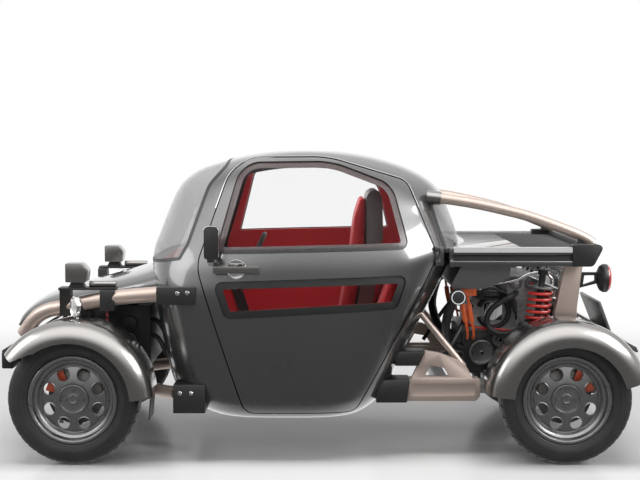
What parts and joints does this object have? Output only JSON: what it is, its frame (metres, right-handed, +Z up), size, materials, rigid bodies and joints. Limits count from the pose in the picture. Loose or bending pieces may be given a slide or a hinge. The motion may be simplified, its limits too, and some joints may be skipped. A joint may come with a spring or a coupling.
{
  "type": "small open-wheel car",
  "caption": "Small car with a capsule cabin on tube rails, cycle fenders, rear-hinged doors, steered front wheels and an open rear engine bay.",
  "frame": {"origin": "on the ground midway between the axles on the centre plane", "axes": "-X towards the front, -Y towards the left side, +Z up"},
  "size_m": [3.428, 1.8, 1.645],
  "materials": {
    "body_front": null,
    "body_floor": null,
    "body_roof": null,
    "body_rear": null,
    "windscreen": null,
    "rear_window": null,
    "door_left": null,
    "door_right": null,
    "door_glass_left": null,
    "door_glass_right": null,
    "door_fittings_left": null,
    "door_fittings_right": null,
    "mirror_left": null,
    "mirror_right": null,
    "door_hinges": null,
    "rim_fl": null,
    "rim_fr": null,
    "rim_rl": null,
    "rim_rr": null,
    "tyre_fl": null,
    "tyre_fr": null,
    "tyre_rl": null,
    "tyre_rr": null,
    "knuckle_fl": null,
    "knuckle_fr": null,
    "front_suspension": null,
    "front_struts": null,
    "front_coils": null,
    "front_fenders": null,
    "rear_fenders": null,
    "front_bumper": null,
    "front_rails": null,
    "lower_rails": null,
    "body_clamps": null,
    "hood": null,
    "front_lamps": null,
    "fender_lamps": null,
    "power_pack": null,
    "rear_beams": null,
    "rear_subframe": null,
    "rear_struts": null,
    "rear_coils": null,
    "engine_block": null,
    "intake_pipes": null,
    "belt_drive": null,
    "engine_hoses": null,
    "hv_cables": null,
    "fuel_tank": null,
    "deck_rails": null,
    "deck_cap": null,
    "deck_panel": null,
    "deck_grille": null,
    "rear_posts": null,
    "roof_bars": null,
    "tail_lamps": null,
    "plate_board": null,
    "driver_seat": null,
    "rear_seats": null,
    "dashboard": null,
    "steering_wheel": null
  },
  "bodies": {
    "chassis": {"body_front": "body_front", "body_floor": "body_floor", "body_roof": "body_roof", "body_rear": "body_rear", "windscreen": "windscreen", "rear_window": "rear_window", "door_hinges": "door_hinges", "front_suspension": "front_suspension", "front_struts": "front_struts", "front_coils": "front_coils", "front_fenders": "front_fenders", "rear_fenders": "rear_fenders", "front_bumper": "front_bumper", "front_rails": "front_rails", "lower_rails": "lower_rails", "body_clamps": "body_clamps", "hood": "hood", "front_lamps": "front_lamps", "fender_lamps": "fender_lamps", "power_pack": "power_pack", "rear_beams": "rear_beams", "rear_subframe": "rear_subframe", "rear_struts": "rear_struts", "rear_coils": "rear_coils", "engine_block": "engine_block", "intake_pipes": "intake_pipes", "belt_drive": "belt_drive", "engine_hoses": "engine_hoses", "hv_cables": "hv_cables", "fuel_tank": "fuel_tank", "deck_rails": "deck_rails", "deck_cap": "deck_cap", "deck_panel": "deck_panel", "deck_grille": "deck_grille", "rear_posts": "rear_posts", "roof_bars": "roof_bars", "tail_lamps": "tail_lamps", "plate_board": "plate_board", "driver_seat": "driver_seat", "rear_seats": "rear_seats", "dashboard": "dashboard", "steering_wheel": "steering_wheel"},
    "knuckle_fl": {"knuckle_fl": "knuckle_fl"},
    "knuckle_fr": {"knuckle_fr": "knuckle_fr"},
    "wheel_fl": {"rim_fl": "rim_fl", "tyre_fl": "tyre_fl"},
    "wheel_fr": {"rim_fr": "rim_fr", "tyre_fr": "tyre_fr"},
    "wheel_rl": {"rim_rl": "rim_rl", "tyre_rl": "tyre_rl"},
    "wheel_rr": {"rim_rr": "rim_rr", "tyre_rr": "tyre_rr"},
    "door_left": {"door_left": "door_left", "door_glass_left": "door_glass_left", "door_fittings_left": "door_fittings_left", "mirror_left": "mirror_left"},
    "door_right": {"door_right": "door_right", "door_glass_right": "door_glass_right", "door_fittings_right": "door_fittings_right", "mirror_right": "mirror_right"}
  },
  "joints": [
    {"name": "steer_l", "type": "hinge", "parent": "chassis", "child": "knuckle_fl", "pos_m": [-1.29, -0.62, 0.345], "axis": [0, 0, 1], "range_deg": [-28, 28]},
    {"name": "spin_fl", "type": "hinge", "parent": "knuckle_fl", "child": "wheel_fl", "pos_m": [-1.29, -0.7, 0.345], "axis": [0, 1, 0], "continuous": true},
    {"name": "spin_rl", "type": "hinge", "parent": "chassis", "child": "wheel_rl", "pos_m": [1.29, -0.7, 0.345], "axis": [0, 1, 0], "continuous": true},
    {"name": "door_left_hinge", "type": "hinge", "parent": "chassis", "child": "door_left", "pos_m": [0.616, -0.65, 1.086], "axis": [0, 0, 1], "range_deg": [0, 66]},
    {"name": "steer_r", "type": "hinge", "parent": "chassis", "child": "knuckle_fr", "pos_m": [-1.29, 0.62, 0.345], "axis": [0, 0, 1], "range_deg": [-28, 28]},
    {"name": "spin_fr", "type": "hinge", "parent": "knuckle_fr", "child": "wheel_fr", "pos_m": [-1.29, 0.7, 0.345], "axis": [0, 1, 0], "continuous": true},
    {"name": "spin_rr", "type": "hinge", "parent": "chassis", "child": "wheel_rr", "pos_m": [1.29, 0.7, 0.345], "axis": [0, 1, 0], "continuous": true},
    {"name": "door_right_hinge", "type": "hinge", "parent": "chassis", "child": "door_right", "pos_m": [0.616, 0.65, 1.086], "axis": [0, 0, -1], "range_deg": [0, 66]}
  ],
  "couplings": [
    {"joint": "steer_r", "follows": "steer_l", "ratio": 1}
  ]
}
